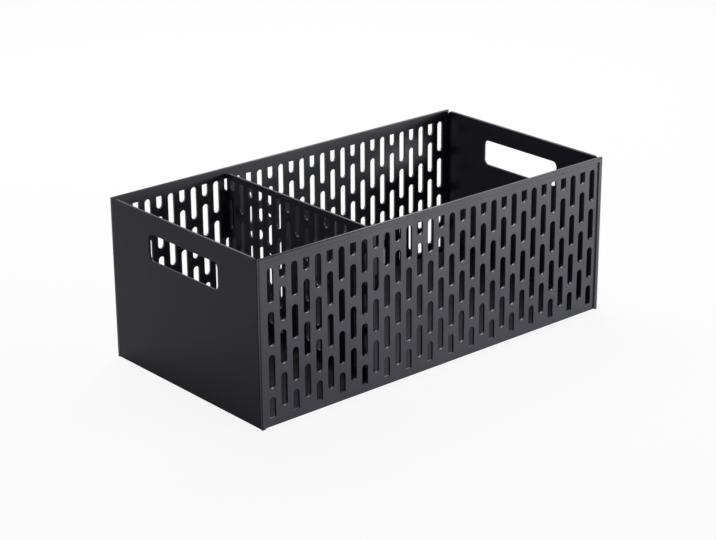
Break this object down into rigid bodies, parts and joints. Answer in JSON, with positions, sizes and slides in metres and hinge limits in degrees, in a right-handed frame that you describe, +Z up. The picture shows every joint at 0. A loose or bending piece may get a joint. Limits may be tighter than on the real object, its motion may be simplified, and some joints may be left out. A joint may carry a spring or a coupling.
{
  "type": "vegetable storage bin",
  "caption": "Open rectangular vegetable bin with slotted long sides, plain ends with hand holes and a slotted lift-out divider.",
  "frame": {"origin": "on the table, under the middle of the bin", "axes": "+X along the bin's length towards the right end panel, +Y from the front panel to the back panel, +Z up"},
  "size_m": [0.375, 0.195, 0.14],
  "materials": {
    "long_panels": "charcoal black, fine moulded texture, satin-matte",
    "end_panels": "charcoal black, fine moulded texture, satin-matte",
    "base_tray": "charcoal black, fine moulded texture, satin-matte",
    "divider": "charcoal black, fine moulded texture, satin-matte",
    "divider_clips": "charcoal black, smooth moulded, satin"
  },
  "bodies": {
    "bin": {"front_panel": "long_panels", "back_panel": "long_panels", "left_end_panel": "end_panels", "right_end_panel": "end_panels", "base_tray": "base_tray", "front_divider_clip": "divider_clips", "back_divider_clip": "divider_clips"},
    "divider": {"divider": "divider"}
  },
  "joints": [
    {"name": "divider_lift", "type": "slide", "parent": "bin", "child": "divider", "axis": [0, 0, 1], "range_m": [0, 0.15]}
  ]
}
